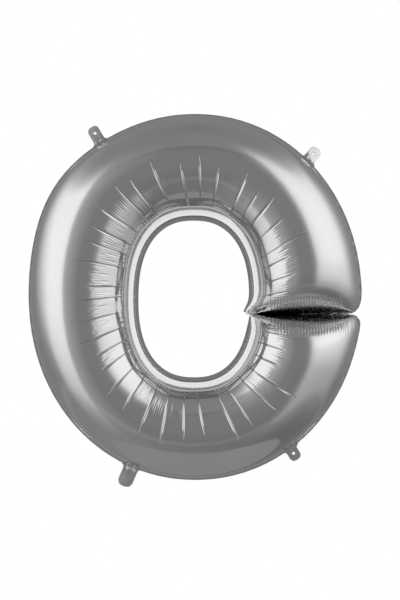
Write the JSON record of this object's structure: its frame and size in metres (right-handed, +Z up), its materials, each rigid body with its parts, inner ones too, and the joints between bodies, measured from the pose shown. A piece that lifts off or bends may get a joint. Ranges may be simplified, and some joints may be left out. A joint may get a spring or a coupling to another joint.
{
  "type": "foil number balloon",
  "caption": "Round inflated foil figure: a C-shaped tube of mirror film closing on itself at a slit, with small punched hanging tabs and a filling tail.",
  "frame": {"origin": "centre of the whole object's box, tabs and tail included; the seam between the two films is in the plane Y = 0", "axes": "+Z up, +X to the viewer's right with the slit on that side, the front faces -Y"},
  "size_m": [0.783, 0.2478, 0.8766],
  "materials": {
    "silver_foil": "mirror-bright metallised plastic film",
    "clear_film": "clear glossy film"
  },
  "bodies": {
    "envelope": {"front_foil_panel": "silver_foil", "rear_foil_panel": "silver_foil", "valve_neck_front_film": "clear_film", "valve_neck_rear_film": "clear_film"},
    "tab_top_left": {"hanging_tab_top_left": "silver_foil"},
    "tab_top_right": {"hanging_tab_top_right": "silver_foil"},
    "tab_bottom_right": {"hanging_tab_bottom_right": "silver_foil"},
    "tail": {"tail_front_ply": "silver_foil", "tail_rear_ply": "silver_foil", "valve_mouth_front_film": "clear_film", "valve_mouth_rear_film": "clear_film"},
    "valve_tongue": {"valve_tongue_front_film": "clear_film", "valve_tongue_rear_film": "clear_film"}
  },
  "joints": [
    {"name": "top_left_tab_flex", "type": "hinge", "parent": "envelope", "child": "tab_top_left", "pos_m": [-0.22449, 0, 0.37461], "axis": [-0.8526, 0, -0.5225], "range_deg": [-85, 85], "stiffness_Nm_per_rad": 0.0003},
    {"name": "top_right_tab_flex", "type": "hinge", "parent": "envelope", "child": "tab_top_right", "pos_m": [0.26749, 0, 0.33169], "axis": [-0.7705, 0, 0.6374], "range_deg": [-85, 85], "stiffness_Nm_per_rad": 0.0003},
    {"name": "bottom_right_tab_flex", "type": "hinge", "parent": "envelope", "child": "tab_bottom_right", "pos_m": [0.22611, 0, -0.35078], "axis": [0.8462, 0, 0.5329], "range_deg": [-85, 85], "stiffness_Nm_per_rad": 0.0003},
    {"name": "tail_flex", "type": "hinge", "parent": "envelope", "child": "tail", "pos_m": [-0.15148, 0, -0.39462], "axis": [0.9361, 0, -0.3518], "range_deg": [-80, 80], "stiffness_Nm_per_rad": 0.0006},
    {"name": "valve_tongue_flex", "type": "hinge", "parent": "envelope", "child": "valve_tongue", "pos_m": [-0.14724, 0, -0.38334], "axis": [0.9361, 0, -0.3518], "range_deg": [-30, 30], "stiffness_Nm_per_rad": 0.0002}
  ]
}
